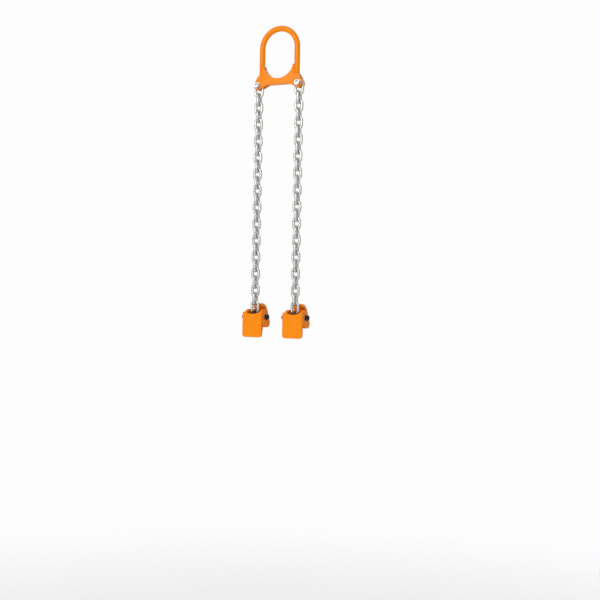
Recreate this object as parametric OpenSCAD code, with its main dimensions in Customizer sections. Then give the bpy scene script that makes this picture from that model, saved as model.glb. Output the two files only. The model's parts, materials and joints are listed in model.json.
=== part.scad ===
// Plate lifting clamp: a master ring, two chain legs and two cam clamps.
// X is to the right, Y points to the back and Z is up.
// The origin is the ring's inner crown, where the crane hook bears.

/* [Master ring] */
// Diameter of the ring's round bar
ring_bar = 16; // [12:1:20]
// Clear width inside the ring
ring_inner_w = 93; // [84:1:110]
// Clear height inside the ring
ring_inner_h = 133; // [116:1:180]
// Height of the bars' lower ends above the bottom of the opening
bar_lift = 9; // [5:1:12]

/* [Web and lugs] */
// Thickness of the front and the back web plate
web_plate_t = 6; // [4:0.5:8]
// Gap between the two ears of a lug, filled by the centre web
lug_gap = 10; // [9:0.5:12]
// Height of the web plates' horns above the web, beside the opening
horn_h = 53.5; // [40:0.5:56]
// Height of the web under the ring's opening
web_h = 17; // [14:1:26]
// Distance between the two chain legs
leg_spacing = 126; // [118:1:152]
// Radius of a lug's ear
ear_r = 12.5; // [9.5:0.5:13]
// Height of the lug bolt above the web's lower edge
lug_rise = -1; // [-6:0.5:4]
// Shaft diameter of a lug bolt
lug_bolt_d = 10; // [8:0.5:10]

/* [Chain] */
// Wire diameter of a link
link_wire = 8; // [6:0.5:8]
// Clear length inside a link
link_inner_l = 24; // [22:0.5:30]
// Clear width inside a link
link_inner_w = 11; // [11:0.5:14]
// Clear length inside the top link, which hangs in the lug
top_inner_l = 33; // [29:0.5:36]
// Clear width inside the top link
top_inner_w = 13; // [12:0.5:16]
// Pairs of links between the first link and the clamp
link_pairs = 13; // [5:1:20]

/* [Jaw plate] */
// Width of the jaw plate
jaw_w = 60; // [58:1:80]
// Height of the jaw plate
jaw_h = 72; // [64:1:100]
// Thickness of the jaw plate
jaw_t = 8; // [6:0.5:9]
// Radius of the jaw plate's lower corners
jaw_corner_r = 9; // [3:0.5:14]
// Height of the raised land that grips the load, over the jaw plate's inner face
land_t = 1; // [0.5:0.5:2]
// Depth of the shallow dip in the jaw plate's top edge
jaw_dip = 5.5; // [2:0.5:7]

/* [Cheeks] */
// Thickness of a cheek
cheek_t = 8; // [5:0.5:10]
// Distance between the inner faces of the two cheeks
cheek_gap = 40; // [36:0.5:46]
// Height of the cheeks' top above the jaw plate's top edge
cheek_rise = 8; // [5:0.5:9]
// Radius of the cheeks' rounded top
cheek_top_r = 21; // [20:0.5:22]
// Radius of the rounded lobe at the back
lobe_r = 13.5; // [12:0.5:15]
// Distance from the jaw face to the lobe's centre
lobe_back = 39; // [38:0.5:41]
// Height of the lobe's centre below the jaw plate's top edge
lobe_drop = 30; // [29:0.5:34]
// Height of the throat's top below the jaw plate's top edge
throat_top = 38; // [36:0.5:40]
// Depth of the throat from the jaw face to the back leg
throat_w = 20; // [18:0.5:21]

// Radius of the stop pin between the cheeks
stop_r = 4.5; // [4:0.5:5]
// Distance from the pivot back to the stop pin
stop_back = 21; // [20.5:0.5:22]
// Height of the stop pin below the pivot
stop_drop = 16; // [15:0.5:17]

/* [Cam lever] */
// Distance from the jaw face back to the chain's line
eye_back = 11; // [10.5:0.5:12]
// Height of the wire that hangs in the eye below the jaw plate's top edge
eye_drop = 2; // [0:0.5:3]
// Wall of the eye round its hole
eye_wall = 5.5; // [5:0.5:6]
// Width of the cam nose and the hub
cam_w = 27; // [25:0.5:30]
// Width of the bow
bow_w = 36; // [30:0.5:37]
// Thickness of the plate part that holds the eye
eye_t = 10; // [8:0.5:10]
// Outer radius of the bow, from the pivot
bow_r = 39; // [36:0.5:40]
// Thickness of the bow
bow_t = 8; // [6:0.5:9]
// Angle above level at which the bow ends at the back
bow_back = 10; // [6:1:14]
// Angle above level at which the bow ends at the front
bow_front = 92; // [86:1:94]
// Angle above level at which the cut in the bow for the chain starts
slot_back = 62; // [58:1:66]
// Radius of the hub round the pivot
hub_r = 12; // [11:0.5:12.5]
// Radius of the cam nose over its teeth
nose_r = 10; // [9:0.5:11]
// Height of the nose's centre below the jaw plate's top edge
nose_drop = 47; // [46:0.5:49]
// Jaw opening at rest
jaw_open = 16; // [12:0.5:18]
// Number of teeth on the cam nose
teeth = 6; // [4:1:8]
// Width of the grooves between the teeth
groove_w = 2.4; // [1.5:0.1:2.6]

/* [Pivot] */
// Shaft diameter of the pivot bolt
pivot_d = 10; // [8:0.5:12]
// Distance from the jaw face to the pivot
pivot_back = 22; // [21:0.5:24]
// Height of the pivot below the jaw plate's top edge
pivot_drop = 14; // [13:0.5:15]
// Length that the pivot bolt's thread stands out of its nut
pivot_tail = 8; // [4:1:12]
// Outer radius of the spacers beside the lever
spacer_r = 8.5; // [8:0.5:9.5]

/* [Bolt heads, nuts and washers] */
// Diameter of a bolt head
head_d = 16; // [15:0.5:18]
// Height of a lug bolt's head
lug_head_h = 8; // [6:0.5:10]
// Height of the pivot bolt's head
pivot_head_h = 8; // [6:0.5:10]
// Width across the flats of a head's socket
key_w = 8; // [6:1:8]
// Depth of a head's socket
key_depth = 4; // [3:0.5:4.5]
// Width across the flats of a nut
nut_w = 16; // [15:0.5:17]
// Height of a nut
nut_h = 8; // [6:0.5:10]
// Length that a lug bolt stands out of its nut
lug_tail = 4; // [2:1:8]
// Outer radius of a washer
washer_r = 9; // [8.5:0.5:10]
// Thickness of a washer
washer_t = 1.5; // [1:0.25:2.5]

/* [Fits] */
// Radial clearance of the lever on the pivot bolt
running_fit = 0.05; // [0.02:0.01:0.09]
// Radial clearance of a bolt in a drilled plate
bolt_fit = 0.2; // [0.1:0.05:0.4]
// Radial clearance of a nut on its bolt's thread
thread_fit = 0.01; // [0.01:0.01:0.05]
// Gap between a link and what carries it
link_play = 0.3; // [0.2:0.05:0.5]
// Gap beside a part that turns
side_play = 0.3; // [0.2:0.05:0.6]

/* [Hidden] */
$fn = 96;
e = 0.01;
PAINT = "#f58c14";
ZINC = "#c9cccd";
BLACK = "#1b1c1f";

// ring and web
ring_x = (ring_inner_w + ring_bar) / 2;
ring_crown_z = -ring_inner_w / 2;
bend_z = -(ring_inner_h - ring_inner_w / 2);
web_bottom = -ring_inner_h - web_h;
bar_end_z = -ring_inner_h + bar_lift;
leg_x = leg_spacing / 2;
lug_z = web_bottom + lug_rise;
web_edge = ring_x - sqrt(pow(ring_bar / 2, 2) - pow(lug_gap / 2, 2));
half_web = lug_gap / 2 + web_plate_t;
web_inner_r = ring_inner_w / 2 + 1;

// chain
pitch = link_inner_l - link_play;
top_z = lug_z + lug_bolt_d / 2 + link_play;
second_z = top_z - top_inner_l + link_play;
last_wire_z = second_z - (2 * link_pairs - 1) * pitch - link_inner_l - link_wire / 2;

// clamp, in the jaw plate's own place: Y from the chain's line, Z from the plate's top edge
jaw_top = last_wire_z + eye_drop;
jaw_face = -eye_back;
pivot_y = jaw_face + pivot_back;
pivot_z = -pivot_drop;
eye_hole_r = link_inner_w / 2;
eye_hole_z = -eye_drop + link_wire / 2 + link_play - eye_hole_r;
eye_r = eye_hole_r + eye_wall;
flare_in = 0.3;
flare_h = eye_t / 2 - flare_in;
nose_y = jaw_face + land_t + jaw_open + nose_r;
nose_z = -nose_drop;
// the dip's circle runs out 5 mm inside the plate's sides
dip_half = jaw_w / 2 - 5;
dip_r = (pow(dip_half, 2) + pow(jaw_dip, 2)) / (2 * jaw_dip);
cheek_in = cheek_gap / 2;
cheek_out = cheek_in + cheek_t;
lobe_y = jaw_face + lobe_back;
lobe_z = -lobe_drop;
stop_y = pivot_y + stop_back;
stop_z = pivot_z - stop_drop;

// bolts and nuts
lug_seat = half_web + washer_t;
pivot_seat = cheek_out + washer_t;
lug_hole_r = lug_bolt_d / 2 + bolt_fit;
pivot_hole_r = pivot_d / 2 + bolt_fit / 2;

PAIRS = [for (i = [1 : link_pairs]) i];
SIDES = ["left", "right"];
CLAMP = ["jaw_plate", "head_cheek", "nut_cheek", "cam_lever", "pivot_bolt", "pivot_nut",
    "pivot_washers", "pivot_spacers", "stop_pin"];
ROOT = ["master_ring", "front_web_plate", "back_web_plate", "centre_web", "lug_bolts",
    "lug_nuts", "lug_washers"];

// ---------- helpers ----------

// a cylinder along X from x0 to x1
module along_x(r, x0, x1, y = 0, z = 0)
    translate([x0, y, z]) rotate([0, 90, 0]) cylinder(r = r, h = x1 - x0);

// a cylinder along Y from y0 to y1
module along_y(r, y0, y1, x = 0, z = 0)
    translate([x, y0, z]) rotate([-90, 0, 0]) cylinder(r = r, h = y1 - y0);

// a plate in the XZ plane, from y0 to y1, built up from outlines drawn in X and Z
module plate_xz(y0, y1)
    for (i = [0 : $children - 1])
        translate([0, y1, 0]) rotate([90, 0, 0]) linear_extrude(y1 - y0) children(i);

// a plate in the YZ plane, from x0 to x1, built up from outlines drawn in Y and Z
module plate_yz(x0, x1)
    for (i = [0 : $children - 1])
        translate([x0, 0, 0]) rotate([90, 0, 90]) linear_extrude(x1 - x0) children(i);

// half of a torus in the XZ plane: the upper half, from +X round to -X
module half_ring(r, wire)
    rotate([90, 0, 0]) rotate_extrude(angle = 180) translate([r, 0]) circle(d = wire);

// a sector of a ring between two angles
module sector(r0, r1, a0, a1, steps = 12) {
    far = 2 * r1;
    fan = [for (i = [0 : steps]) let (a = a0 + (a1 - a0) * i / steps) [far * cos(a), far * sin(a)]];
    intersection() {
        difference() {
            circle(r1);
            circle(r0);
        }
        polygon(concat([[0, 0]], fan));
    }
}

// the straight-sided piece between two discs, with its corners just inside both
module between_discs(p, r_p, q, r_q) {
    rp = r_p - 0.1;
    rq = r_q - 0.1;
    d = norm(q - p);
    a = atan2(q[1] - p[1], q[0] - p[0]);
    t = acos((rp - rq) / d);
    polygon([
        p + rp * [cos(a - t), sin(a - t)], q + rq * [cos(a - t), sin(a - t)],
        q + rq * [cos(a + t), sin(a + t)], p + rp * [cos(a + t), sin(a + t)]
    ]);
}

// ---------- ring and web ----------

module master_ring()
    color(PAINT) {
        translate([0, 0, ring_crown_z]) half_ring(ring_x, ring_bar);
        for (x = [-ring_x, ring_x])
            translate([x, 0, bar_end_z]) cylinder(d = ring_bar, h = ring_crown_z - bar_end_z);
    }

// outline of the web between the two bars, open above along the ring's lower bend
module web_outline(edge, h)
    difference() {
        translate([-edge, web_bottom]) square([2 * edge, h]);
        translate([0, bend_z]) circle(web_inner_r);
    }

// the neck of an ear, from the web and the bar's end down to the disc round the bolt
module ear_neck()
    polygon([
        [web_edge - 16, web_bottom], [leg_x - ear_r * cos(50), lug_z - ear_r * sin(50)],
        [leg_x + ear_r * cos(40), lug_z - ear_r * sin(40)], [leg_x + ear_r, lug_z + 4],
        [ring_x + ring_bar / 2, bar_end_z], [web_edge - 1, bar_end_z], [web_edge - 8, bar_end_z - 4]
    ]);

module web_plate(y0, y1)
    color(PAINT)
        difference() {
            plate_xz(y0, y1) {
                web_outline(web_edge, horn_h);
                ear_neck();
                translate([leg_x, lug_z]) circle(ear_r);
                mirror([1, 0]) ear_neck();
                translate([-leg_x, lug_z]) circle(ear_r);
            }
            for (s = [-1, 1]) along_y(lug_hole_r, y0 - 1, y1 + 1, s * leg_x, lug_z);
        }

module front_web_plate() web_plate(-half_web, -lug_gap / 2);
module back_web_plate() web_plate(lug_gap / 2, half_web);

// the centre web stays clear of the top link, which swings inside the lug
module centre_web()
    color(PAINT)
        plate_xz(-lug_gap / 2, lug_gap / 2)
            difference() {
                web_outline(ring_inner_w / 2, horn_h - 10);
                for (s = [-1, 1])
                    translate([s * leg_x, lug_z]) circle(top_inner_w / 2 + link_wire + 9);
            }

// ---------- fasteners ----------

// each stands on the plane at 0, pointing up
module socket_head(h)
    difference() {
        union() {
            cylinder(d = head_d, h = h - 0.8);
            translate([0, 0, h - 0.8]) cylinder(d1 = head_d, d2 = head_d - 1.6, h = 0.8);
        }
        translate([0, 0, h - key_depth]) cylinder(d = key_w / cos(30), h = key_depth + e, $fn = 6);
    }

module hex_nut(bore) {
    corners = nut_w / cos(30);
    difference() {
        intersection() {
            cylinder(d = corners, h = nut_h, $fn = 6);
            union() {
                cylinder(d = corners + 1, h = nut_h - 0.9);
                translate([0, 0, nut_h - 0.9]) cylinder(d1 = corners + 1, d2 = nut_w - 0.5, h = 0.9);
            }
        }
        translate([0, 0, -e]) cylinder(r = bore, h = nut_h + 2 * e);
    }
}

module washer(r_out, r_in, t)
    difference() {
        cylinder(r = r_out, h = t);
        translate([0, 0, -e]) cylinder(r = r_in, h = t + 2 * e);
    }

module lug_bolts()
    color(ZINC)
        for (s = [-1, 1])
            translate([s * leg_x, 0, lug_z]) {
                translate([0, -lug_seat, 0]) rotate([90, 0, 0]) socket_head(lug_head_h);
                along_y(lug_bolt_d / 2, -lug_seat, lug_seat + nut_h + lug_tail);
            }

module lug_washers()
    color(ZINC)
        for (s = [-1, 1], y = [-lug_seat, half_web])
            translate([s * leg_x, y, lug_z]) rotate([-90, 0, 0])
                washer(washer_r, lug_hole_r, washer_t);

module lug_nuts()
    color(ZINC)
        for (s = [-1, 1])
            translate([s * leg_x, lug_seat, lug_z]) rotate([-90, 0, 0])
                hex_nut(lug_bolt_d / 2 + thread_fit);

// ---------- chain ----------

// one link in the XZ plane, with its inner top surface at z = 0
module link_xz(inner_l = link_inner_l, inner_w = link_inner_w) {
    crown_r = (inner_w + link_wire) / 2;
    crown_off = (inner_l - inner_w) / 2;
    color(ZINC)
        translate([0, 0, -inner_l / 2]) {
            translate([0, 0, crown_off]) half_ring(crown_r, link_wire);
            translate([0, 0, -crown_off]) mirror([0, 0, 1]) half_ring(crown_r, link_wire);
            for (x = [-crown_r, crown_r])
                translate([x, 0, -crown_off]) cylinder(d = link_wire, h = 2 * crown_off);
        }
}

module top_link(x) translate([x, 0, top_z]) link_xz(top_inner_l, top_inner_w);

// the i-th pair: a link in the YZ plane and the next one in the XZ plane
module links(x, i) {
    z = second_z - 2 * (i - 1) * pitch;
    translate([x, 0, z]) rotate([0, 0, 90]) link_xz();
    translate([x, 0, z - pitch]) link_xz();
}

// ---------- clamp, drawn with Z = 0 at the jaw plate's top edge ----------

module jaw_plate()
    color(PAINT)
        difference() {
            union() {
                plate_xz(jaw_face - jaw_t, jaw_face)
                    translate([-jaw_w / 2, -jaw_h]) square([jaw_w, jaw_h]);
                // the raised land, clear of the cheeks above it
                plate_xz(jaw_face - e, jaw_face + land_t)
                    translate([-jaw_w / 2, -jaw_h]) square([jaw_w, jaw_h - throat_top - 1]);
            }
            // the dip: a large circle that leaves a shoulder at each side
            along_y(dip_r, jaw_face - jaw_t - 1, jaw_face + 1, 0, dip_r - jaw_dip);
            plate_xz(jaw_face - jaw_t - 1, jaw_face + land_t + 1)
                for (s = [-1, 1]) translate([s * jaw_w / 2, -jaw_h]) corner_cut(jaw_corner_r, s);
            // room for the lever's eye
            translate([-eye_t / 2 - 1.5, jaw_face - 3, -20]) cube([eye_t + 3, 3 + e, 21]);
        }

// what a rounded lower corner takes away
module corner_cut(r, s)
    difference() {
        translate([s > 0 ? -r : -e, -e]) square([r + e, r + e]);
        translate([-s * r, r]) circle(r);
    }

// a cheek: top disc, back lobe, front block and the back leg of the throat
module cheek(x0)
    color(PAINT)
        difference() {
            plate_yz(x0, x0 + cheek_t) {
                intersection() {
                    translate([jaw_face + 19, cheek_rise - cheek_top_r]) circle(cheek_top_r);
                    translate([jaw_face, -60]) square([60, 80]);
                }
                translate([lobe_y, lobe_z]) circle(lobe_r);
                polygon([
                    [jaw_face, -throat_top], [jaw_face + throat_w, -throat_top],
                    [jaw_face + throat_w, lobe_z - lobe_r], [lobe_y, lobe_z - lobe_r],
                    [lobe_y + 6, lobe_z + 11], [jaw_face + 38, -6], [jaw_face + 6, 3], [jaw_face, 0]
                ]);
            }
            along_x(pivot_hole_r, x0 - 1, x0 + cheek_t + 1, pivot_y, pivot_z);
            along_x(stop_r - 1, x0 - 1, x0 + cheek_t + 1, stop_y, stop_z);
        }

module head_cheek() cheek(cheek_in);
module nut_cheek() cheek(-cheek_out);

module nose_teeth()
    difference() {
        translate([nose_y, nose_z]) circle(nose_r);
        for (i = [0 : teeth])
            translate([nose_y, nose_z]) rotate(144 + i * 84 / teeth) translate([nose_r + 0.4, 0])
                rotate(45) square(groove_w, center = true);
    }

// the web that ties the bow's back end to the hub
module bow_web(angle)
    translate([pivot_y, pivot_z]) sector(8, bow_r - bow_t + 1, bow_back + 2, bow_back + angle);

// the plate part: eye, arm to the hub, arm to the nose
module lever_core()
    plate_yz(-eye_t / 2, eye_t / 2) {
        translate([0, eye_hole_z]) circle(eye_r);
        between_discs([0, eye_hole_z], eye_r, [pivot_y, pivot_z], hub_r);
        translate([pivot_y, pivot_z]) circle(hub_r);
        between_discs([pivot_y, pivot_z], hub_r, [nose_y, nose_z], nose_r - 1.5);
        bow_web(14);
    }

// the wide part: bow, its web, hub, arm and toothed nose
module lever_wide() {
    plate_yz(-bow_w / 2, bow_w / 2)
        translate([pivot_y, pivot_z]) sector(bow_r - bow_t, bow_r, bow_back, bow_front);
    plate_yz(-cam_w / 2 + 2, cam_w / 2 - 2) bow_web(10);
    plate_yz(-cam_w / 2, cam_w / 2) {
        translate([pivot_y, pivot_z]) circle(hub_r - 2);
        between_discs([pivot_y, pivot_z], hub_r - 2, [nose_y, nose_z], nose_r - 3);
        nose_teeth();
    }
}

module cam_lever()
    color(PAINT)
        difference() {
            union() {
                lever_core();
                lever_wide();
            }
            // the bow's front is cut away for the chain, and leaves a tongue on the head's side
            plate_yz(-bow_w / 2 - 1, link_wire / 2 + 1.5)
                translate([pivot_y, pivot_z])
                    sector(bow_r - bow_t - 1, bow_r + 1, slot_back, bow_front + 6);
            along_x(pivot_d / 2 + running_fit, -cam_w, cam_w, pivot_y, pivot_z);
            // the eye, flared to both sides to suit the link's round crown
            along_x(eye_hole_r, -eye_t, eye_t, 0, eye_hole_z);
            for (s = [0, 180])
                rotate([0, 0, s])
                    translate([flare_in, 0, eye_hole_z]) rotate([0, 90, 0])
                        cylinder(r1 = eye_hole_r, r2 = eye_hole_r + eye_wall - 2, h = flare_h + e);
        }

module pivot_bolt()
    color(BLACK)
        translate([0, pivot_y, pivot_z]) {
            translate([pivot_seat, 0, 0]) rotate([0, 90, 0]) socket_head(pivot_head_h);
            along_x(pivot_d / 2, -pivot_seat - nut_h - pivot_tail, pivot_seat);
        }

module pivot_nut()
    color(BLACK)
        translate([-pivot_seat, pivot_y, pivot_z]) rotate([0, -90, 0])
            hex_nut(pivot_d / 2 + thread_fit);

module pivot_washers()
    color(ZINC)
        for (x = [-pivot_seat, cheek_out])
            translate([x, pivot_y, pivot_z]) rotate([0, 90, 0])
                washer(washer_r, pivot_hole_r, washer_t);

module pivot_spacers()
    color(ZINC)
        for (s = [0, 1])
            mirror([s, 0, 0])
                translate([cam_w / 2 + side_play, pivot_y, pivot_z]) rotate([0, 90, 0])
                    washer(spacer_r, pivot_hole_r, cheek_in - cam_w / 2 - side_play);

// shouldered: the full diameter spans the gap, and its ends are riveted in the cheeks
module stop_pin()
    color(PAINT) {
        along_x(stop_r, -cheek_in, cheek_in, stop_y, stop_z);
        along_x(stop_r - 1, -cheek_out - 1, cheek_out + 1, stop_y, stop_z);
    }

// ---------- placing ----------

module at_clamp(x) translate([x, 0, jaw_top]) children();

master_ring();
front_web_plate();
back_web_plate();
centre_web();
lug_bolts();
lug_nuts();
lug_washers();

for (side = [0, 1]) {
    s = SIDES[side];
    x = side == 0 ? -leg_x : leg_x;
    top_link(x);
    for (i = PAIRS) links(x, i);
    at_clamp(x) jaw_plate();
    at_clamp(x) head_cheek();
    at_clamp(x) nut_cheek();
    at_clamp(x) cam_lever();
    at_clamp(x) pivot_bolt();
    at_clamp(x) pivot_nut();
    at_clamp(x) pivot_washers();
    at_clamp(x) pivot_spacers();
    at_clamp(x) stop_pin();
}
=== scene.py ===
import json
import math
import random

import bmesh
import bpy
from mathutils import Matrix, Vector


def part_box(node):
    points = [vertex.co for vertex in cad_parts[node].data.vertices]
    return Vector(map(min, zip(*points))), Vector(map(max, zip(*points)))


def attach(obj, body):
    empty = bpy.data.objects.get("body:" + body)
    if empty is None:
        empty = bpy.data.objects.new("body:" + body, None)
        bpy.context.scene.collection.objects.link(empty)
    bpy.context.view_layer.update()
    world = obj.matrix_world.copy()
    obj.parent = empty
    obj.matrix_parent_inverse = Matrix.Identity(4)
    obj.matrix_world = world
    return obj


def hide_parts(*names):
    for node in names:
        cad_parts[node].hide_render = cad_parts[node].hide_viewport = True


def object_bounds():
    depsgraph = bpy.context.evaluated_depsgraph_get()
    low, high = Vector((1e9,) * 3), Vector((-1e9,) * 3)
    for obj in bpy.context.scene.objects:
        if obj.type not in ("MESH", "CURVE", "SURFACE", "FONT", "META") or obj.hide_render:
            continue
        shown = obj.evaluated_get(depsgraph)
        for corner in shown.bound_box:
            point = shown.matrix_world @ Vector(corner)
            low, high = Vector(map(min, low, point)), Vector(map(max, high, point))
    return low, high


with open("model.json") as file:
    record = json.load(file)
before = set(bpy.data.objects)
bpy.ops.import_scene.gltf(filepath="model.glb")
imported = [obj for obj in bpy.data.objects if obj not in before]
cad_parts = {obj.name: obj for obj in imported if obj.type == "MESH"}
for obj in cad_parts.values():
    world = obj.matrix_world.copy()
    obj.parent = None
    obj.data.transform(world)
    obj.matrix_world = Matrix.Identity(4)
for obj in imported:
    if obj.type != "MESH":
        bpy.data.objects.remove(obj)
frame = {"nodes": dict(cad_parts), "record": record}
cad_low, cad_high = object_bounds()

NODES = frame["nodes"]
BODIES = frame["record"]["behaviour"]["bodies"]
SLOT_OF = {s["node"]: s["material_slot"] for s in frame["record"]["subparts"]}
SIDES = ("left", "right")
PAIRS = sum(1 for n in NODES if n.startswith("left_links_"))
MM = 0.001
X, Y, Z = Vector((1, 0, 0)), Vector((0, 1, 0)), Vector((0, 0, 1))


def body_of_node(node):
    return next(b for b, names in BODIES.items() if node in names)


def box(node):
    lo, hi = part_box(node)
    return Vector(lo), Vector(hi)


# ---------------------------------------------------------------- node helpers

def link(tree, a, b):
    tree.links.new(a, b)


def math_node(tree, op, a, b, clamp=False):
    n = tree.nodes.new("ShaderNodeMath")
    n.operation = op
    n.use_clamp = clamp
    for i, v in enumerate((a, b)):
        if isinstance(v, (int, float)):
            n.inputs[i].default_value = v
        else:
            link(tree, v, n.inputs[i])
    return n.outputs[0]


def vector_node(tree, op, a, b=None):
    n = tree.nodes.new("ShaderNodeVectorMath")
    n.operation = op
    for socket, v in zip(n.inputs, (a, b)):
        if isinstance(v, tuple):
            socket.default_value = v
        elif v is not None:
            link(tree, v, socket)
    return n.outputs["Value" if op in ("LENGTH", "DOT_PRODUCT") else "Vector"]


def map_range(tree, value, span, low, high, smooth=False):
    """Carries value from its span to low and high, straight or eased at both ends."""
    n = tree.nodes.new("ShaderNodeMapRange")
    if smooth:
        n.interpolation_type = "SMOOTHSTEP"
    for label, v in zip(("From Min", "From Max", "To Min", "To Max"), (*span, low, high)):
        n.inputs[label].default_value = v
    link(tree, value, n.inputs["Value"])
    return n.outputs[0]


def ramp(tree, value, stops):
    """A colour ramp through the stops; a stop's colour is one number for a grey."""
    n = tree.nodes.new("ShaderNodeValToRGB")
    els = n.color_ramp.elements
    while len(els) < len(stops):
        els.new(0.5)
    for el, (pos, col) in zip(els, stops):
        el.position = pos
        el.color = (col, col, col, 1) if isinstance(col, (int, float)) else (*col, 1)
    link(tree, value, n.inputs[0])
    return n.outputs[0]


def mix(tree, factor, a, b):
    """Colour a where factor is 0 and colour b where it is 1."""
    n = tree.nodes.new("ShaderNodeMix")
    n.data_type = "RGBA"
    link(tree, factor, n.inputs[0])
    for i, v in ((6, a), (7, b)):
        if isinstance(v, tuple):
            n.inputs[i].default_value = (*v, 1)
        else:
            link(tree, v, n.inputs[i])
    return n.outputs[2]


def object_place(tree):
    """The place on the piece, in metres, so that a finish stays on it when it moves."""
    return tree.nodes.new("ShaderNodeTexCoord").outputs["Object"]


def noise(tree, vector, scale, detail, rough):
    n = tree.nodes.new("ShaderNodeTexNoise")
    n.inputs["Scale"].default_value = scale
    n.inputs["Detail"].default_value = detail
    n.inputs["Roughness"].default_value = rough
    link(tree, vector, n.inputs["Vector"])
    return n.outputs[0]


def bump(tree, shader, height, strength, distance):
    b = tree.nodes.new("ShaderNodeBump")
    b.inputs["Strength"].default_value = strength
    b.inputs["Distance"].default_value = distance
    link(tree, height, b.inputs["Height"])
    link(tree, b.outputs[0], shader.inputs["Normal"])


# ---------------------------------------------------------------- node groups

def new_group(name, inputs, outputs):
    """A shader group of float sockets; inputs maps each name to its first value."""
    g = bpy.data.node_groups.new(name, "ShaderNodeTree")
    for label, value in inputs.items():
        s = g.interface.new_socket(label, in_out="INPUT", socket_type="NodeSocketFloat")
        s.default_value = value
    for label in outputs:
        g.interface.new_socket(label, in_out="OUTPUT", socket_type="NodeSocketFloat")
    return g, g.nodes.new("NodeGroupInput"), g.nodes.new("NodeGroupOutput")


def group_edge_wear():
    """A mask of the worn edges, from how sharply the surface turns, broken up into spots."""
    gain, spot_scale = 14.0, 420.0
    g, gin, gout = new_group("Edge wear", {"Width": 0.0012, "Amount": 0.5}, ["Mask"])
    geo = g.nodes.new("ShaderNodeNewGeometry")
    bevel = g.nodes.new("ShaderNodeBevel")
    bevel.samples = 4
    link(g, gin.outputs["Width"], bevel.inputs["Radius"])
    flatness = vector_node(g, "DOT_PRODUCT", bevel.outputs[0], geo.outputs["Normal"])
    edge = math_node(g, "SUBTRACT", 1.0, flatness)
    edge = math_node(g, "MULTIPLY", edge, gain, clamp=True)
    spots = noise(g, object_place(g), spot_scale, detail=5.0, rough=0.7)
    spots = ramp(g, spots, [(0.50, 0.0), (0.62, 1.0)])
    m = math_node(g, "MULTIPLY", edge, spots)
    m = math_node(g, "MULTIPLY", m, gin.outputs["Amount"], clamp=True)
    link(g, m, gout.inputs["Mask"])
    return g


def group_dust():
    """A mask of the dust that settles in patches on what faces up."""
    level_share, patch_scale = 0.8, 60.0  # how much a level face takes, and the patches' size
    g, gin, gout = new_group("Dust", {"Amount": 0.2}, ["Mask"])
    geo = g.nodes.new("ShaderNodeNewGeometry")
    sep = g.nodes.new("ShaderNodeSeparateXYZ")
    link(g, geo.outputs["Normal"], sep.inputs[0])
    up = math_node(g, "MULTIPLY", sep.outputs[2], level_share, clamp=True)
    patches = noise(g, object_place(g), patch_scale, detail=6.0, rough=0.65)
    patches = ramp(g, patches, [(0.38, 0.0), (0.72, 1.0)])
    m = math_node(g, "MULTIPLY", up, patches)
    m = math_node(g, "MULTIPLY", m, gin.outputs["Amount"], clamp=True)
    link(g, m, gout.inputs["Mask"])
    return g


def group_fine_grain():
    """A height for a coat's fine unevenness, and a soft mottle for its tint and roughness."""
    mottle_scale = 45.0
    g, gin, gout = new_group("Fine grain", {"Scale": 900.0}, ["Height", "Mottle"])
    place = object_place(g)
    n = g.nodes.new("ShaderNodeTexNoise")
    n.inputs["Detail"].default_value = 2.0
    link(g, gin.outputs["Scale"], n.inputs["Scale"])
    link(g, place, n.inputs["Vector"])
    link(g, n.outputs[0], gout.inputs["Height"])
    mottle = noise(g, place, mottle_scale, detail=5.0, rough=0.6)
    link(g, mottle, gout.inputs["Mottle"])
    return g


EDGE, DUST, GRAIN = group_edge_wear(), group_dust(), group_fine_grain()


def use(tree, group, **values):
    n = tree.nodes.new("ShaderNodeGroup")
    n.node_tree = group
    for k, v in values.items():
        n.inputs[k].default_value = v
    return n


# ---------------------------------------------------------------- materials

MOTTLE_SPAN = (0.3, 0.7)  # where nearly all of the mottle's values lie

ORANGE_DEEP, ORANGE_BRIGHT = (0.90, 0.238, 0.001), (0.95, 0.268, 0.002)
ORANGE_WORN, ORANGE_DUSTY = (0.50, 0.12, 0.006), (0.80, 0.55, 0.36)
# painted shade: the near-black the lever's paint turns to round its eye, standing in for the
# recess's shadow
PAINTED_RECESS_SHADE = (0.035, 0.020, 0.012)
ZINC_WORN = (0.74, 0.74, 0.72)
OXIDE_DEEP, OXIDE_PALE = (0.012, 0.012, 0.014), (0.028, 0.028, 0.03)
OXIDE_WORN = (0.16, 0.16, 0.165)


def new_material(name):
    m = bpy.data.materials.new(name)
    m.use_nodes = True
    t = m.node_tree
    t.nodes.clear()
    out = t.nodes.new("ShaderNodeOutputMaterial")
    p = t.nodes.new("ShaderNodeBsdfPrincipled")
    link(t, p.outputs[0], out.inputs[0])
    return m, t, p


def mottled_tint(tree, grain, deep, bright):
    return ramp(tree, grain.outputs["Mottle"], list(zip(MOTTLE_SPAN, (deep, bright))))


def mottled_range(tree, grain, low, high):
    return map_range(tree, grain.outputs["Mottle"], MOTTLE_SPAN, low, high)


def orange_paint(tree, shader):
    """The powder coat's tint, worn on the edges, and its fine bump.
    Gives the grain's node and the colour."""
    grain = use(tree, GRAIN, Scale=700.0)
    wear = use(tree, EDGE, Width=0.0007, Amount=0.55)
    tint = mottled_tint(tree, grain, ORANGE_DEEP, ORANGE_BRIGHT)
    bump(tree, shader, grain.outputs["Height"], strength=0.18, distance=0.0002)
    return grain, mix(tree, wear.outputs["Mask"], tint, ORANGE_WORN)


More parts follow.
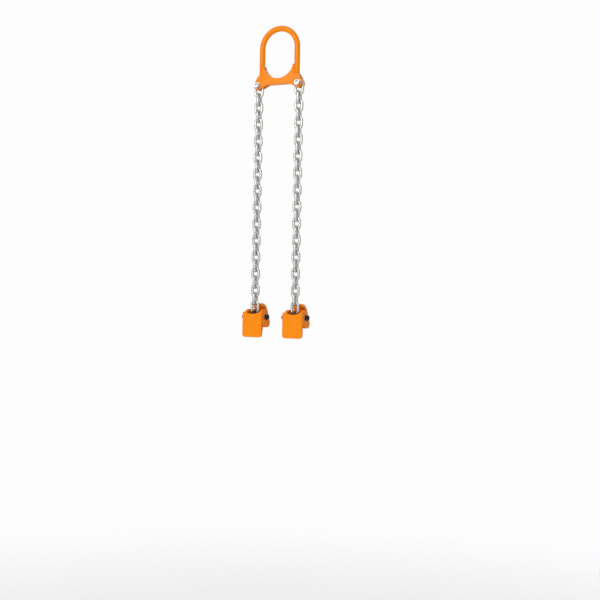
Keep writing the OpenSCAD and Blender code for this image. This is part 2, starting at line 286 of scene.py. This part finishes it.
def orange_powder_coat():
    m, t, p = new_material("Orange powder coat")
    grain, worn = orange_paint(t, p)
    dust = use(t, DUST, Amount=0.10)
    link(t, mix(t, dust.outputs["Mask"], worn, ORANGE_DUSTY), p.inputs["Base Color"])
    dulled = math_node(t, "MULTIPLY", dust.outputs["Mask"], 0.4)
    rough = math_node(t, "ADD", mottled_range(t, grain, 0.30, 0.42), dulled, clamp=True)
    link(t, rough, p.inputs["Roughness"])
    p.inputs["Specular IOR Level"].default_value = 0.12
    p.inputs["Coat Weight"].default_value = 0.05
    p.inputs["Coat Roughness"].default_value = 0.15
    return m


def lever_paint_with_painted_shade(eye_z):
    """The paint of the cam lever, worn on its edges, with painted shade darkening it round the eye
    that holds the chain, down in the recess between the cheeks.
    """
    full_shade_reach, no_shade_reach, raggedness = 0.014, 0.020, 0.006  # distances from the eye, in metres
    m, t, p = new_material("Orange paint with painted shade at the eye")
    grain, worn = orange_paint(t, p)
    from_eye = vector_node(t, "SUBTRACT", object_place(t), (0, 0, eye_z))
    from_eye = vector_node(t, "MULTIPLY", from_eye, (0, 1, 1))
    reach = vector_node(t, "LENGTH", from_eye)
    ragged = math_node(t, "MULTIPLY", grain.outputs["Mottle"], raggedness)
    # painted shade: the paint goes dark within these distances of the eye, where the recess lies in
    # shadow
    near = map_range(t, math_node(t, "ADD", reach, ragged), (full_shade_reach, no_shade_reach), 1.0, 0.0, smooth=True)
    link(t, mix(t, near, worn, PAINTED_RECESS_SHADE), p.inputs["Base Color"])
    link(t, mottled_range(t, grain, 0.32, 0.45), p.inputs["Roughness"])
    p.inputs["Specular IOR Level"].default_value = 0.16
    return m


def bright_zinc(name, base, dark, rough_low, rough_high, grain_scale):
    """Zinc plate with darker clouds, and bare bright edges."""
    cloud_scale = 150.0
    m, t, p = new_material(name)
    grain = use(t, GRAIN, Scale=grain_scale)
    wear = use(t, EDGE, Width=0.0006, Amount=0.4)
    cloud = noise(t, object_place(t), cloud_scale, detail=4.0, rough=0.6)
    tint = ramp(t, cloud, [(0.32, dark), (0.62, base)])
    link(t, mix(t, wear.outputs["Mask"], tint, ZINC_WORN), p.inputs["Base Color"])
    p.inputs["Metallic"].default_value = 1.0
    link(t, mottled_range(t, grain, rough_low, rough_high), p.inputs["Roughness"])
    bump(t, p, grain.outputs["Height"], strength=0.25, distance=0.0002)
    return m


def black_oxide():
    m, t, p = new_material("Black oxide steel")
    grain = use(t, GRAIN, Scale=1300.0)
    wear = use(t, EDGE, Width=0.0005, Amount=0.6)
    tint = mottled_tint(t, grain, OXIDE_DEEP, OXIDE_PALE)
    link(t, mix(t, wear.outputs["Mask"], tint, OXIDE_WORN), p.inputs["Base Color"])
    p.inputs["Metallic"].default_value = 0.55
    link(t, mottled_range(t, grain, 0.30, 0.46), p.inputs["Roughness"])
    bump(t, p, grain.outputs["Height"], strength=0.2, distance=0.0001)
    return m


PAINT = orange_powder_coat()
CHAIN_ZINC = bright_zinc("Zinc on the chain", (0.69, 0.70, 0.67), (0.54, 0.55, 0.52),
                         0.38, 0.52, 500.0)
PLATE_ZINC = bright_zinc("Zinc on bolts and pins", (0.70, 0.71, 0.69), (0.56, 0.57, 0.56),
                         0.38, 0.50, 900.0)
BLACK = black_oxide()
SLOTS = {"orange_paint": PAINT, "zinc_chain": CHAIN_ZINC, "zinc_plate": PLATE_ZINC,
         "black_steel": BLACK}

# ---------------------------------------------------------------- pieces

def new_object(bm, name, material):
    """Turns the mesh in the making into an object of the scene."""
    mesh = bpy.data.meshes.new(name)
    bm.to_mesh(mesh)
    bm.free()
    mesh.materials.append(material)
    ob = bpy.data.objects.new(name, mesh)
    bpy.context.scene.collection.objects.link(ob)
    return ob


def finish_piece(bm, name, material, body, replaced=(), sharp_angle=32, flat=False):
    """Makes the piece, rides it on its body and takes the place of the replaced nodes.
    flat keeps the shading of large faces level up to their rounded edges."""
    bmesh.ops.recalc_face_normals(bm, faces=bm.faces)
    ob = new_object(bm, name, material)
    for f in ob.data.polygons:
        f.use_smooth = True
    ob.data.set_sharp_from_angle(angle=math.radians(sharp_angle))
    if flat:
        even = ob.modifiers.new("even_normals", "WEIGHTED_NORMAL")
        even.keep_sharp = True
        even.weight = 100
    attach(ob, body)
    if replaced:
        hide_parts(*replaced)


def softened(node, width, segments=3, material=None):
    """The node's own shape, with its sharp edges rounded off as the paint leaves them."""
    flat_angle, edge_angle = math.radians(0.6), math.radians(28)
    bm = bmesh.new()
    bm.from_mesh(NODES[node].data)
    bmesh.ops.remove_doubles(bm, verts=bm.verts, dist=2e-6)
    bmesh.ops.dissolve_limit(bm, angle_limit=flat_angle, verts=bm.verts, edges=bm.edges)
    sharp = [e for e in bm.edges if len(e.link_faces) == 2 and e.calc_face_angle(0) > edge_angle]
    bmesh.ops.bevel(bm, geom=sharp, offset=width, offset_type="OFFSET", segments=segments,
                    profile=0.5, affect="EDGES", clamp_overlap=True, miter_outer="ARC")
    name = node.replace("_", " ").title().replace(" ", "_")
    slot = SLOT_OF[node]
    finish_piece(bm, name, material or SLOTS[slot], body_of_node(node), (node,), flat=True)


# ---------------------------------------------------------------- round shapes

def ring_of(bm, centre, u, v, radius, sides):
    """A ring of points round the centre, in the plane of u and v; radius takes the angle."""
    ring = []
    for k in range(sides):
        w = 2 * math.pi * k / sides
        r = radius(w)
        ring.append(bm.verts.new(centre + u * (r * math.cos(w)) + v * (r * math.sin(w))))
    return ring


def skin(bm, rings, closed=False):
    """Faces from ring to ring, with a cap at each end unless the rings close on themselves."""
    sides = len(rings[0])
    pairs = list(zip(rings, rings[1:]))
    if closed:
        pairs.append((rings[-1], rings[0]))
    for a, b in pairs:
        for k in range(sides):
            bm.faces.new((a[k], a[(k + 1) % sides], b[(k + 1) % sides], b[k]))
    if not closed:
        bm.faces.new(rings[0])
        bm.faces.new(list(reversed(rings[-1])))


def square_to(axis):
    """Two directions that are square to the axis and to each other."""
    u = axis.orthogonal().normalized()
    return u, axis.cross(u)


def sweep(bm, path, radius, sides, normal, closed=False):
    """A tube along a flat path. normal is square to the path's plane.
    radius takes the place along the path, from 0 to 1, and the point."""
    rings = []
    n = len(path)
    for i, p in enumerate(path):
        a = path[(i - 1) % n] if closed or i > 0 else path[i]
        b = path[(i + 1) % n] if closed or i < n - 1 else path[i]
        side = (b - a).normalized().cross(normal).normalized()
        r = radius(i / n, p)
        rings.append(ring_of(bm, p, side, normal, lambda w: r, sides))
    skin(bm, rings, closed)


def revolve(bm, profile, foot, axis, sides):
    """Turns a profile of (distance along the axis, radius, shape) round the axis.
    shape is None, or takes the angle and the radius and gives the radius there."""
    u, v = square_to(axis)
    rings = []
    for h, r, shape in profile:
        rings.append(ring_of(bm, foot + axis * h, u, v,
                             lambda w: shape(w, r) if shape else r, sides))
    skin(bm, rings)


def hexagon(w, flat):
    """Distance from the middle of a hexagon to its side, at the angle w."""
    return flat / math.cos((w % (math.pi / 3)) - math.pi / 6)


# ---------------------------------------------------------------- screws and nuts

BOLT_R = 5 * MM
SOCKET_FLAT = SOCKET_DEPTH = 4 * MM  # from the socket's middle to its side, and its depth
PITCH = 1.5 * MM


def socket_head(bm, seat, axis, r, height):
    """A knurled socket head standing on its seat."""
    ridges, knurl_depth = 48, 0.22 * MM

    def knurl(w, rr):
        return rr - knurl_depth * (0.5 + 0.5 * math.cos(ridges * w))

    edge, bottom = 0.5 * MM, height - SOCKET_DEPTH
    mouth, tip = SOCKET_FLAT * 1.24, SOCKET_FLAT * 0.15  # the countersink, and the drill's cone
    rows = [
        (0, r - edge, None),
        (edge, r - 0.1 * MM, None),
        (edge * 1.6, r, knurl),
        (height - 1.5 * MM, r, knurl),
        (height - 1.2 * MM, r - 0.1 * MM, None),
        (height - 0.5 * MM, r - 0.35 * MM, None),
        (height, r - 1.1 * MM, None),
        (height, mouth, None),
        (height - 0.45 * MM, SOCKET_FLAT, hexagon),
        (bottom, SOCKET_FLAT, hexagon),
        (bottom - 0.9 * MM, tip, None),
    ]
    revolve(bm, rows, seat, axis, sides=6 * ridges)


def thread(bm, start, axis, r, length):
    """A shaft with a right-hand thread up to its chamfered end."""
    depth, step, sides = 0.42 * PITCH, 0.11 * MM, 64
    crest_gap, chamfer = 0.05 * MM, 1.0 * MM
    flank, root_flat = 1.35, 0.12  # how steep a tooth is, and how wide the groove's floor
    u, v = square_to(axis)
    n = int(length / step)
    rings = []
    for i in range(n + 1):
        h = length * i / n

        def radius(w):
            f = (h / PITCH - w / (2 * math.pi)) % 1.0
            tooth = min(1.0, max(0.0, abs(2 * f - 1) * flank - root_flat))
            return min(r - crest_gap - depth * (1 - tooth), r - chamfer + (length - h))

        rings.append(ring_of(bm, start + axis * h, u, v, radius, sides))
    skin(bm, rings)


def screw(name, material, node, seat, out, head_r, head_h, grip, tail, replaced):
    """A socket screw. out points from the seat to its head, grip is the length from the seat to
    the nut's far face, and tail is what stands out past the nut."""
    shank_end, lap = 0.6 * MM, 0.8 * MM
    bm = bmesh.new()
    socket_head(bm, seat, out, head_r, head_h)
    revolve(bm, [(0, BOLT_R, None), (grip - shank_end, BOLT_R, None)], seat, -out, 40)
    thread(bm, seat - out * (grip - lap), -out, BOLT_R, tail + lap)
    finish_piece(bm, name, material, body_of_node(node), replaced)


def hex_nut(name, material, node, seat, axis, flat, height, replaced):
    """A nut with both ends chamfered and its bore countersunk."""
    sink, chamfer_rise, chamfer_steps = 0.55 * MM, 0.25 * MM, 5
    washer_face, chamfer_slope = flat * 0.985, 1.6
    corner = flat / math.cos(math.pi / 6)

    def row(h, from_end):
        limit = min(corner, washer_face + from_end * chamfer_slope)
        return h, flat, lambda w, rr: min(hexagon(w, rr), limit)

    steps = [chamfer_rise * i for i in range(chamfer_steps)]
    rows = [(sink, BOLT_R, None), (0, BOLT_R + sink, None)]
    rows += [row(h, h) for h in steps]
    rows += [row(height - h, h) for h in reversed(steps)]
    rows += [(height, BOLT_R + sink, None), (height - sink, BOLT_R, None)]
    bm = bmesh.new()
    revolve(bm, rows, seat, axis, sides=96)
    finish_piece(bm, name, material, body_of_node(node), replaced)


# ---------------------------------------------------------------- chain

def link_path(z_top, z_bottom, half_w, across, centre):
    """The middle line of a link: a crown, its plain leg, a crown, and its welded leg."""
    crown_steps, plain_steps, weld_steps = 22, 6, 30
    top, low = z_top - half_w, z_bottom + half_w
    pts = []
    for i in range(crown_steps + 1):
        a = math.pi * i / crown_steps
        pts.append((half_w * math.cos(a), top + half_w * math.sin(a)))
    for i in range(1, plain_steps):
        pts.append((-half_w, top + (low - top) * i / plain_steps))
    for i in range(crown_steps + 1):
        a = math.pi + math.pi * i / crown_steps
        pts.append((half_w * math.cos(a), low + half_w * math.sin(a)))
    for i in range(1, weld_steps):
        pts.append((half_w, low + (top - low) * i / weld_steps))
    return [centre + across * p + Z * q for p, q in pts]


def add_link(bm, x, z_low, z_high, wire, inner_w, turned, seed):
    """One link between its outer heights, with the weld on one of its straight legs."""
    weld_reach, weld_wander, shrink, far = 1.5 * MM, 0.4 * MM, 0.02 * MM, 9.0
    seam_depth, seam_narrowness = 0.35, 4.5  # of the bulge, and against its width
    rnd = random.Random(seed)
    across, normal = (Y, X) if turned else (X, Y)
    across = across * (1 if rnd.random() > 0.5 else -1)
    centre = X * x
    half_w = (inner_w + wire) / 2
    path = link_path(z_high - wire / 2, z_low + wire / 2, half_w, across, centre)
    middle = (z_high + z_low) / 2 + rnd.uniform(-weld_wander, weld_wander)
    rise = wire * rnd.uniform(0.04, 0.055)

    def radius(t, p):
        on_welded_leg = (p - centre).dot(across) > half_w * 0.98
        d = (p.z - middle) / weld_reach if on_welded_leg else far
        seam = seam_depth * math.exp(-(d * seam_narrowness) ** 2)
        return wire / 2 - shrink + rise * (math.exp(-d * d) - seam)

    sweep(bm, path, radius, 20, normal, closed=True)


PLAY = 0.3 * MM  # between two links
for side in SIDES:
    second = side == "right"  # it shifts the seeds, so that the two chains differ
    node = f"{side}_top_link"
    lo, hi = box(node)
    x, wire = (lo.x + hi.x) / 2, hi.y - lo.y
    bm = bmesh.new()
    add_link(bm, x, lo.z, hi.z, wire, hi.x - lo.x - 2 * wire, False, 7 + second)
    finish_piece(bm, f"{side}_lug_link", CHAIN_ZINC, node, (node,))
    for i in range(1, PAIRS + 1):
        node = f"{side}_links_{i}"
        lo, hi = box(node)
        inner_w = hi.x - lo.x - 2 * wire
        # the pair's box holds two equal links that reach into each other by two wires and the play
        height = (hi.z - lo.z + 2 * wire + PLAY) / 2
        bm = bmesh.new()
        add_link(bm, x, hi.z - height, hi.z, wire, inner_w, True, 100 * i + 1 + second)
        add_link(bm, x, lo.z, lo.z + height, wire, inner_w, False, 100 * i + 3 + second)
        finish_piece(bm, f"{side}_chain_links_{i}", CHAIN_ZINC, node, (node,))

# ---------------------------------------------------------------- painted steel

for node in ("front_web_plate", "back_web_plate", "centre_web"):
    softened(node, 0.9 * MM)
softened("master_ring", 1.2 * MM)
# the lever's paint, with painted shade round its eye
LEVER = lever_paint_with_painted_shade(box(f"left_links_{PAIRS}")[0].z)
for side in SIDES:
    for part, width in (("jaw_plate", 1.1), ("head_cheek", 1.0), ("nut_cheek", 1.0)):
        softened(f"{side}_{part}", width * MM)
    softened(f"{side}_cam_lever", 0.5 * MM, material=LEVER)
    for part, width in (("pivot_spacers", 0.4), ("pivot_washers", 0.3), ("stop_pin", 0.7)):
        softened(f"{side}_{part}", width * MM, segments=2)
softened("lug_washers", 0.3 * MM, segments=2)

# ---------------------------------------------------------------- bolts and nuts

lo, hi = box("lug_bolts")
wash_lo, wash_hi = box("lug_washers")
nut_lo, nut_hi = box("lug_nuts")
head_r = (hi.z - lo.z) / 2
lug_z = (hi.z + lo.z) / 2
nut_flat = (nut_hi.z - nut_lo.z) / 2
for side, s in (("left", -1), ("right", 1)):
    x = s * (hi.x - head_r)
    first = side == "left"  # the left piece replaces the node that holds both
    screw(f"{side}_lug_bolt", PLATE_ZINC, "lug_bolts", Vector((x, wash_lo.y, lug_z)), -Y, head_r,
          wash_lo.y - lo.y, nut_hi.y - wash_lo.y, hi.y - nut_hi.y, ("lug_bolts",) if first else ())
    hex_nut(f"{side}_lug_nut", PLATE_ZINC, "lug_nuts", Vector((x, wash_hi.y, lug_z)), Y, nut_flat,
            nut_hi.y - wash_hi.y, ("lug_nuts",) if first else ())

for side in SIDES:
    bolt, nut = f"{side}_pivot_bolt", f"{side}_pivot_nut"
    lo, hi = box(bolt)
    wash_lo, wash_hi = box(f"{side}_pivot_washers")
    nut_lo, nut_hi = box(nut)
    y, z = (lo.y + hi.y) / 2, (lo.z + hi.z) / 2
    screw(f"{side}_pivot_screw", BLACK, bolt, Vector((wash_hi.x, y, z)), X, (hi.z - lo.z) / 2,
          hi.x - wash_hi.x, wash_hi.x - nut_lo.x, nut_lo.x - lo.x, (bolt,))
    hex_nut(f"{side}_pivot_lock_nut", BLACK, nut, Vector((wash_lo.x, y, z)), -X, nut_flat,
            wash_lo.x - nut_lo.x, (nut,))

# ---------------------------------------------------------------- weld beads

def weld(points, r, name, body, seed, out):
    """A painted fillet bead along the points, rippled the way a hand-laid weld is."""
    spacing, ripple_length, wave_length, end_length = 0.35 * MM, 1.5 * MM, 4 * MM, r * 0.9
    thin, ripple_height, wave_height, blunt_end = 0.93, 0.055, 0.02, 0.12  # shares of the radius
    rnd = random.Random(seed)
    waves = [(rnd.uniform(0.6, 1.4), rnd.uniform(0, 6.28)) for _ in range(3)]
    path = []
    for a, b in zip(points, points[1:]):
        n = max(2, int((b - a).length / spacing))
        path += [a.lerp(b, i / n) for i in range(n)]
    path.append(points[-1])
    run = [0.0]
    for a, b in zip(path, path[1:]):
        run.append(run[-1] + (b - a).length)

    def radius(t, p):
        d = run[min(int(t * len(path) + 0.5), len(path) - 1)]
        ripple = ripple_height * abs(math.sin(math.pi * d / ripple_length))
        slow = sum(wave_height * math.sin(d / wave_length * f + q) for f, q in waves)
        end = min(1.0, min(d, run[-1] - d) / end_length)
        taper = math.sqrt(max(blunt_end, end * (2 - end)))
        return r * (thin + ripple + slow) * taper

    bm = bmesh.new()
    sweep(bm, path, radius, 16, out)
    finish_piece(bm, name, PAINT, body, sharp_angle=60)


ring_lo, ring_hi = box("master_ring")
plate_hi = box("front_web_plate")[1]
bar_x = ring_hi.x - (ring_hi.y - ring_lo.y) / 2
root = body_of_node("master_ring")

# along each bar, in the corner between it and the faces of the web plates
corner_in, corner_out = 4.1 * MM, 7.9 * MM  # from the bar's middle line
bar_bead_low, bar_bead_high = ring_lo.z - 0.3 * MM, plate_hi.z - 0.6 * MM
bar_bead_r = 3.0 * MM
# round the outer side of each bar's foot
foot_wide, foot_deep, foot_z = 8.7 * MM, 8.5 * MM, ring_lo.z + 0.9 * MM
foot_start, foot_turn, foot_steps = 45, 92, 14  # where the bead starts and how far it goes round
foot_bead_r = 2.2 * MM

for face, where in ((-1, "front"), (1, "back")):
    for s, side in ((-1, "left"), (1, "right")):
        tag = f"{where}_{side}"
        ends = [Vector((s * (bar_x - corner_in), face * corner_out, z))
                for z in (bar_bead_low, bar_bead_high)]
        weld(ends, bar_bead_r, f"bar_weld_{tag}", root, 11 + s + 3 * face, Y * face)
        foot = []
        for i in range(foot_steps + 1):
            a = math.radians(foot_start + foot_turn * i / foot_steps)
            foot.append(Vector((s * (bar_x + foot_wide * math.cos(a)),
                                face * foot_deep * math.sin(a), foot_z)))
        weld(foot, foot_bead_r, f"foot_weld_{tag}", root, 31 + s + 3 * face, Z)

# up the outside of each cheek, where it meets the back of the jaw plate
cheek_bead_r, cheek_bead_in = 2.7 * MM, 0.7 * MM
cheek_bead_from_low, cheek_bead_from_top = 6 * MM, 1.5 * MM
for side in SIDES:
    plate = f"{side}_jaw_plate"
    high_z = box(plate)[1].z - cheek_bead_from_top
    for part, s in (("head_cheek", 1), ("nut_cheek", -1)):
        lo, hi = box(f"{side}_{part}")
        outer = hi.x if s > 0 else lo.x
        ends = [Vector((outer + s * cheek_bead_in, lo.y + cheek_bead_in, z))
                for z in (lo.z + cheek_bead_from_low, high_z)]
        weld(ends, cheek_bead_r, f"{side}_{part}_weld_out", body_of_node(plate), 51 + s, Y)

# ---------------------------------------------------------------- floor

FLOOR_DROP, FLOOR_HALF = 1.55, 6.0  # below the object's lowest point, and half its side
FLOOR_FADE = (1.4, 5.0)  # distances between which the floor fades into the backdrop

bm = bmesh.new()
bm.faces.new([bm.verts.new((FLOOR_HALF * a, FLOOR_HALF * b, 0))
              for a, b in ((-1, -1), (1, -1), (1, 1), (-1, 1))])
pale, tree, shader = new_material("Pale floor")
shader.inputs["Base Color"].default_value = (0.93, 0.93, 0.92, 1)
shader.inputs["Roughness"].default_value = 0.75
shader.inputs["Emission Color"].default_value = (1, 1, 1, 1)
shader.inputs["Emission Strength"].default_value = 0.2
reach = vector_node(tree, "LENGTH", object_place(tree))
link(tree, map_range(tree, reach, FLOOR_FADE, 1.0, 0.0, smooth=True), shader.inputs["Alpha"])
floor = new_object(bm, "floor", pale)
floor.location.z = cad_low[2] - FLOOR_DROP

# ---------------------------------------------------------------- studio light

# A studio that is pale behind the object and greyer all round, so that round bars and links shade
# toward their edges. The backdrop that the camera itself sees is pale from every side.
BEHIND = (-0.438, 0.899, 0.0)
PALE = (0.98, 0.98, 0.98)
STUDIO = [(0.0, (0.46, 0.46, 0.47)), (0.72, (0.42, 0.42, 0.43)), (0.90, (0.66, 0.66, 0.66)),
          (0.955, PALE)]

scene = bpy.context.scene
world = bpy.data.worlds.new("Studio")
world.use_nodes = True
tree = world.node_tree
direction = tree.nodes.new("ShaderNodeTexCoord").outputs["Generated"]
toward = vector_node(tree, "DOT_PRODUCT", direction, BEHIND)
studio = ramp(tree, map_range(tree, toward, (-1.0, 1.0), 0.0, 1.0), STUDIO)
seen = tree.nodes.new("ShaderNodeLightPath").outputs["Is Camera Ray"]
background = tree.nodes["Background"]
link(tree, mix(tree, seen, studio, PALE), background.inputs["Color"])
background.inputs["Strength"].default_value = 1.0
scene.world = world
scene.view_settings.view_transform = "Standard"


def soft_light(name, place, size, power):
    """A square light panel that faces the middle of the object."""
    target = Vector((0, 0, (cad_low[2] + cad_high[2]) / 2))
    panel = bpy.data.lights.new(name, "AREA")
    panel.size = size
    panel.energy = power
    ob = bpy.data.objects.new(name, panel)
    ob.location = place
    ob.rotation_euler = (target - Vector(place)).to_track_quat("-Z", "Y").to_euler()
    scene.collection.objects.link(ob)


soft_light("key", (-1.2, -5.6, 1.6), 2.6, 184)
soft_light("fill", (2.6, -1.6, -0.2), 1.6, 14)
soft_light("rim", (0.6, 2.6, 1.4), 1.4, 12)

# ---------------------------------------------------------------- camera

LENS, SENSOR = 63.45, 36
AZIMUTH, ROLL = math.radians(26), math.radians(1.13)
DISTANCE, HEIGHT = 3.0, -0.764
AIM_RIGHT, AIM_UP = 0.0780, 0.0035

cam_data = bpy.data.cameras.new("camera")
cam_data.lens = LENS
cam_data.sensor_width = SENSOR
cam = bpy.data.objects.new("camera", cam_data)
scene.collection.objects.link(cam)
scene.camera = cam
aim = Vector((AIM_RIGHT, 0, HEIGHT + AIM_UP))
cam.location = (DISTANCE * math.sin(AZIMUTH), -DISTANCE * math.cos(AZIMUTH), HEIGHT)
turn = (aim - cam.location).to_track_quat("-Z", "Y").to_matrix()
cam.rotation_euler = (turn @ Matrix.Rotation(ROLL, 3, "Z")).to_euler()
